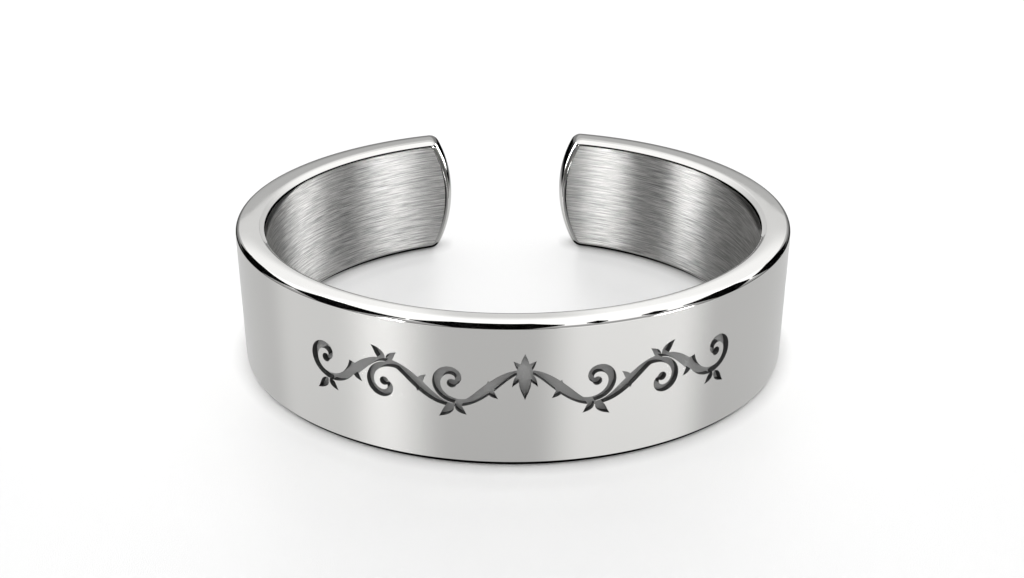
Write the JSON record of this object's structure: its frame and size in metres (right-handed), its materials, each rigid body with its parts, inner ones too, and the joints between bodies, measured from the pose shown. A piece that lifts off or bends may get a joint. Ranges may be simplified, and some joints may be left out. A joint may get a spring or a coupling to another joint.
{
  "type": "cuff ring",
  "caption": "Open finger ring: a flat polished band bent round the finger, with soft edges, a brushed inner wall and rounded free ends.",
  "frame": {"origin": "centre of the finger hole, at the middle of the band's width", "axes": "+Z along the finger hole's axis, up from the edge that the ring lies on; +Y towards the gap between the free ends"},
  "size_m": [0.0202, 0.02, 0.005],
  "materials": {
    "steel": "polished outside and on the edges, brushed round the inner wall"
  },
  "bodies": {
    "root": {"band": "steel"}
  },
  "joints": []
}
